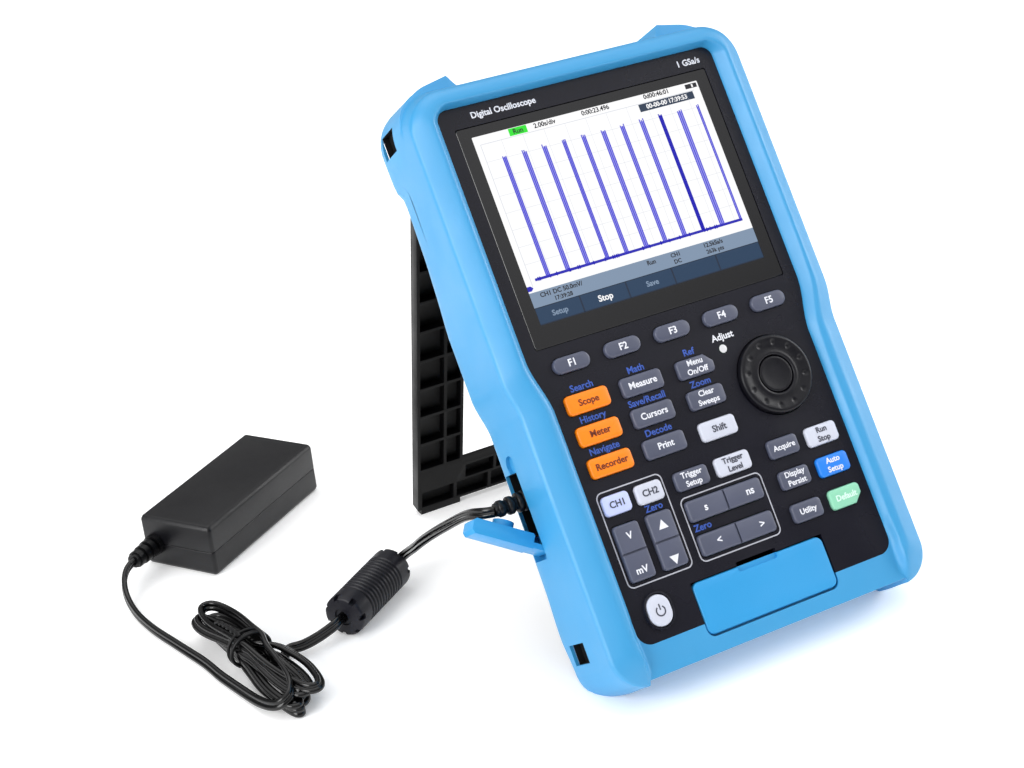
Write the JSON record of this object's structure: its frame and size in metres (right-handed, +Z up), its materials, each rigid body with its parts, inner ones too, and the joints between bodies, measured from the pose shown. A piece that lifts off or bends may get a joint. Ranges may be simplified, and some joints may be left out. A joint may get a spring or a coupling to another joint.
{
  "type": "handheld oscilloscope",
  "caption": "Handheld digital oscilloscope in a blue rubber bumper with colour display, keypad and dial, standing on its kickstand, plugged into a mains adapter by a bundled lead.",
  "frame": {"origin": "on the bench, under the middle of the case, its open stand and its open port door together", "axes": "+Z up, +X to the right as the user faces the screen, +Y away from the user"},
  "size_m": [0.3054, 0.3087, 0.2372],
  "materials": {
    "bumper_rubber": "matte moulded",
    "panel_plastic": "fine satin texture",
    "case_plastic": "satin moulded",
    "stand_plastic": "semi-gloss moulded",
    "key_grey": "soft satin",
    "key_orange": "soft satin",
    "key_white": "soft satin",
    "key_blue": "soft satin",
    "key_mint": "soft satin",
    "dial_plastic": "satin",
    "lens_glass": "clear gloss over a printed border",
    "display": "lit colour display",
    "board": "solder mask",
    "battery_wrap": "heat-shrunk film",
    "steel": "zinc plated",
    "nickel": "nickel plated",
    "cord_pvc": "smooth vinyl",
    "adapter_plastic": "fine spark-eroded texture",
    "ferrite_pvc": "moulded vinyl"
  },
  "bodies": {
    "case": {"dial_encoder": "steel", "front_case": "panel_plastic", "front_bumper": "bumper_rubber", "rear_bumper": "bumper_rubber", "rear_case": "case_plastic", "screen_lens": "lens_glass", "display_module": "display", "keypad_board": "board", "main_board": "board", "battery_pack": "battery_wrap", "battery_cover": "case_plastic", "case_screws": "steel", "meter_jacks": "case_plastic", "port_block": "case_plastic", "bnc_jacks": "nickel", "dc_plug": "cord_pvc", "cord_from_plug": "cord_pvc", "ferrite": "ferrite_pvc", "cord_from_ferrite": "cord_pvc", "cord_hank": "cord_pvc", "cord_tie": "cord_pvc", "cord_to_adapter": "cord_pvc", "adapter_top": "adapter_plastic", "adapter_base": "adapter_plastic", "adapter_gland": "cord_pvc", "adapter_inlet": "adapter_plastic"},
    "key_f1": {"key_f1": "key_grey"},
    "key_f2": {"key_f2": "key_grey"},
    "key_f3": {"key_f3": "key_grey"},
    "key_f4": {"key_f4": "key_grey"},
    "key_f5": {"key_f5": "key_grey"},
    "key_scope": {"key_scope": "key_orange"},
    "key_meter": {"key_meter": "key_orange"},
    "key_recorder": {"key_recorder": "key_orange"},
    "key_measure": {"key_measure": "key_grey"},
    "key_cursors": {"key_cursors": "key_grey"},
    "key_print": {"key_print": "key_grey"},
    "key_menu": {"key_menu": "key_grey"},
    "key_clear": {"key_clear": "key_grey"},
    "key_shift": {"key_shift": "key_white"},
    "key_channel_1": {"key_channel_1": "key_white"},
    "key_channel_2": {"key_channel_2": "key_white"},
    "key_trigger_setup": {"key_trigger_setup": "key_grey"},
    "key_trigger_level": {"key_trigger_level": "key_white"},
    "key_acquire": {"key_acquire": "key_grey"},
    "key_display": {"key_display": "key_grey"},
    "key_utility": {"key_utility": "key_grey"},
    "key_run_stop": {"key_run_stop": "key_white"},
    "key_auto_setup": {"key_auto_setup": "key_blue"},
    "key_default": {"key_default": "key_mint"},
    "key_power": {"key_power": "key_white"},
    "rocker_volts": {"rocker_volts": "key_grey"},
    "rocker_position": {"rocker_position": "key_grey"},
    "rocker_timebase": {"rocker_timebase": "key_grey"},
    "rocker_horizontal": {"rocker_horizontal": "key_grey"},
    "dial_ring": {"dial_ring": "dial_plastic"},
    "dial_button": {"dial_button": "dial_plastic"},
    "kickstand": {"kickstand": "stand_plastic"},
    "meter_flap": {"meter_flap": "bumper_rubber"},
    "side_door": {"side_door": "bumper_rubber"}
  },
  "joints": [
    {"name": "key_f1_press", "type": "slide", "parent": "case", "child": "key_f1", "axis": [0, 0.829, -0.5592], "range_m": [0, 0.001], "stiffness_N_per_m": 400},
    {"name": "key_f2_press", "type": "slide", "parent": "case", "child": "key_f2", "axis": [0, 0.829, -0.5592], "range_m": [0, 0.001], "stiffness_N_per_m": 400},
    {"name": "key_f3_press", "type": "slide", "parent": "case", "child": "key_f3", "axis": [0, 0.829, -0.5592], "range_m": [0, 0.001], "stiffness_N_per_m": 400},
    {"name": "key_f4_press", "type": "slide", "parent": "case", "child": "key_f4", "axis": [0, 0.829, -0.5592], "range_m": [0, 0.001], "stiffness_N_per_m": 400},
    {"name": "key_f5_press", "type": "slide", "parent": "case", "child": "key_f5", "axis": [0, 0.829, -0.5592], "range_m": [0, 0.001], "stiffness_N_per_m": 400},
    {"name": "key_scope_press", "type": "slide", "parent": "case", "child": "key_scope", "axis": [0, 0.829, -0.5592], "range_m": [0, 0.001], "stiffness_N_per_m": 400},
    {"name": "key_meter_press", "type": "slide", "parent": "case", "child": "key_meter", "axis": [0, 0.829, -0.5592], "range_m": [0, 0.001], "stiffness_N_per_m": 400},
    {"name": "key_recorder_press", "type": "slide", "parent": "case", "child": "key_recorder", "axis": [0, 0.829, -0.5592], "range_m": [0, 0.001], "stiffness_N_per_m": 400},
    {"name": "key_measure_press", "type": "slide", "parent": "case", "child": "key_measure", "axis": [0, 0.829, -0.5592], "range_m": [0, 0.001], "stiffness_N_per_m": 400},
    {"name": "key_cursors_press", "type": "slide", "parent": "case", "child": "key_cursors", "axis": [0, 0.829, -0.5592], "range_m": [0, 0.001], "stiffness_N_per_m": 400},
    {"name": "key_print_press", "type": "slide", "parent": "case", "child": "key_print", "axis": [0, 0.829, -0.5592], "range_m": [0, 0.001], "stiffness_N_per_m": 400},
    {"name": "key_menu_press", "type": "slide", "parent": "case", "child": "key_menu", "axis": [0, 0.829, -0.5592], "range_m": [0, 0.001], "stiffness_N_per_m": 400},
    {"name": "key_clear_press", "type": "slide", "parent": "case", "child": "key_clear", "axis": [0, 0.829, -0.5592], "range_m": [0, 0.001], "stiffness_N_per_m": 400},
    {"name": "key_shift_press", "type": "slide", "parent": "case", "child": "key_shift", "axis": [0, 0.829, -0.5592], "range_m": [0, 0.001], "stiffness_N_per_m": 400},
    {"name": "key_channel_1_press", "type": "slide", "parent": "case", "child": "key_channel_1", "axis": [0, 0.829, -0.5592], "range_m": [0, 0.001], "stiffness_N_per_m": 400},
    {"name": "key_channel_2_press", "type": "slide", "parent": "case", "child": "key_channel_2", "axis": [0, 0.829, -0.5592], "range_m": [0, 0.001], "stiffness_N_per_m": 400},
    {"name": "key_trigger_setup_press", "type": "slide", "parent": "case", "child": "key_trigger_setup", "axis": [0, 0.829, -0.5592], "range_m": [0, 0.001], "stiffness_N_per_m": 400},
    {"name": "key_trigger_level_press", "type": "slide", "parent": "case", "child": "key_trigger_level", "axis": [0, 0.829, -0.5592], "range_m": [0, 0.001], "stiffness_N_per_m": 400},
    {"name": "key_acquire_press", "type": "slide", "parent": "case", "child": "key_acquire", "axis": [0, 0.829, -0.5592], "range_m": [0, 0.001], "stiffness_N_per_m": 400},
    {"name": "key_display_press", "type": "slide", "parent": "case", "child": "key_display", "axis": [0, 0.829, -0.5592], "range_m": [0, 0.001], "stiffness_N_per_m": 400},
    {"name": "key_utility_press", "type": "slide", "parent": "case", "child": "key_utility", "axis": [0, 0.829, -0.5592], "range_m": [0, 0.001], "stiffness_N_per_m": 400},
    {"name": "key_run_stop_press", "type": "slide", "parent": "case", "child": "key_run_stop", "axis": [0, 0.829, -0.5592], "range_m": [0, 0.001], "stiffness_N_per_m": 400},
    {"name": "key_auto_setup_press", "type": "slide", "parent": "case", "child": "key_auto_setup", "axis": [0, 0.829, -0.5592], "range_m": [0, 0.001], "stiffness_N_per_m": 400},
    {"name": "key_default_press", "type": "slide", "parent": "case", "child": "key_default", "axis": [0, 0.829, -0.5592], "range_m": [0, 0.001], "stiffness_N_per_m": 400},
    {"name": "key_power_press", "type": "slide", "parent": "case", "child": "key_power", "axis": [0, 0.829, -0.5592], "range_m": [0, 0.001], "stiffness_N_per_m": 400},
    {"name": "rocker_volts_tilt", "type": "hinge", "parent": "case", "child": "rocker_volts", "pos_m": [-0.04095, -0.07875, 0.06043], "axis": [1, 0, 0], "range_deg": [-3, 3], "stiffness_Nm_per_rad": 0.6},
    {"name": "rocker_position_tilt", "type": "hinge", "parent": "case", "child": "rocker_position", "pos_m": [-0.02495, -0.07875, 0.06043], "axis": [1, 0, 0], "range_deg": [-3, 3], "stiffness_Nm_per_rad": 0.6},
    {"name": "rocker_timebase_tilt", "type": "hinge", "parent": "case", "child": "rocker_timebase", "pos_m": [0.00725, -0.07466, 0.06648], "axis": [0, 0.5592, 0.829], "range_deg": [-3, 3], "stiffness_Nm_per_rad": 0.6},
    {"name": "rocker_horizontal_tilt", "type": "hinge", "parent": "case", "child": "rocker_horizontal", "pos_m": [0.00725, -0.08305, 0.05405], "axis": [0, 0.5592, 0.829], "range_deg": [-3, 3], "stiffness_Nm_per_rad": 0.6},
    {"name": "dial_turn", "type": "hinge", "parent": "case", "child": "dial_ring", "pos_m": [0.05225, -0.05142, 0.10363], "axis": [0, -0.829, 0.5592], "continuous": true},
    {"name": "dial_press", "type": "slide", "parent": "dial_ring", "child": "dial_button", "axis": [0, 0.829, -0.5592], "range_m": [0, 0.001], "stiffness_N_per_m": 400},
    {"name": "kickstand_fold", "type": "hinge", "parent": "case", "child": "kickstand", "pos_m": [0.01205, 0.06123, 0.19194], "axis": [-1, 0, 0], "range_deg": [0, 48]},
    {"name": "flap_open", "type": "hinge", "parent": "case", "child": "meter_flap", "pos_m": [0.01205, -0.10221, 0.02547], "axis": [1, 0, 0], "range_deg": [0, 95]},
    {"name": "door_open", "type": "hinge", "parent": "case", "child": "side_door", "pos_m": [-0.06525, -0.04666, 0.05435], "axis": [0, -0.829, 0.5592], "range_deg": [0, 60]}
  ]
}
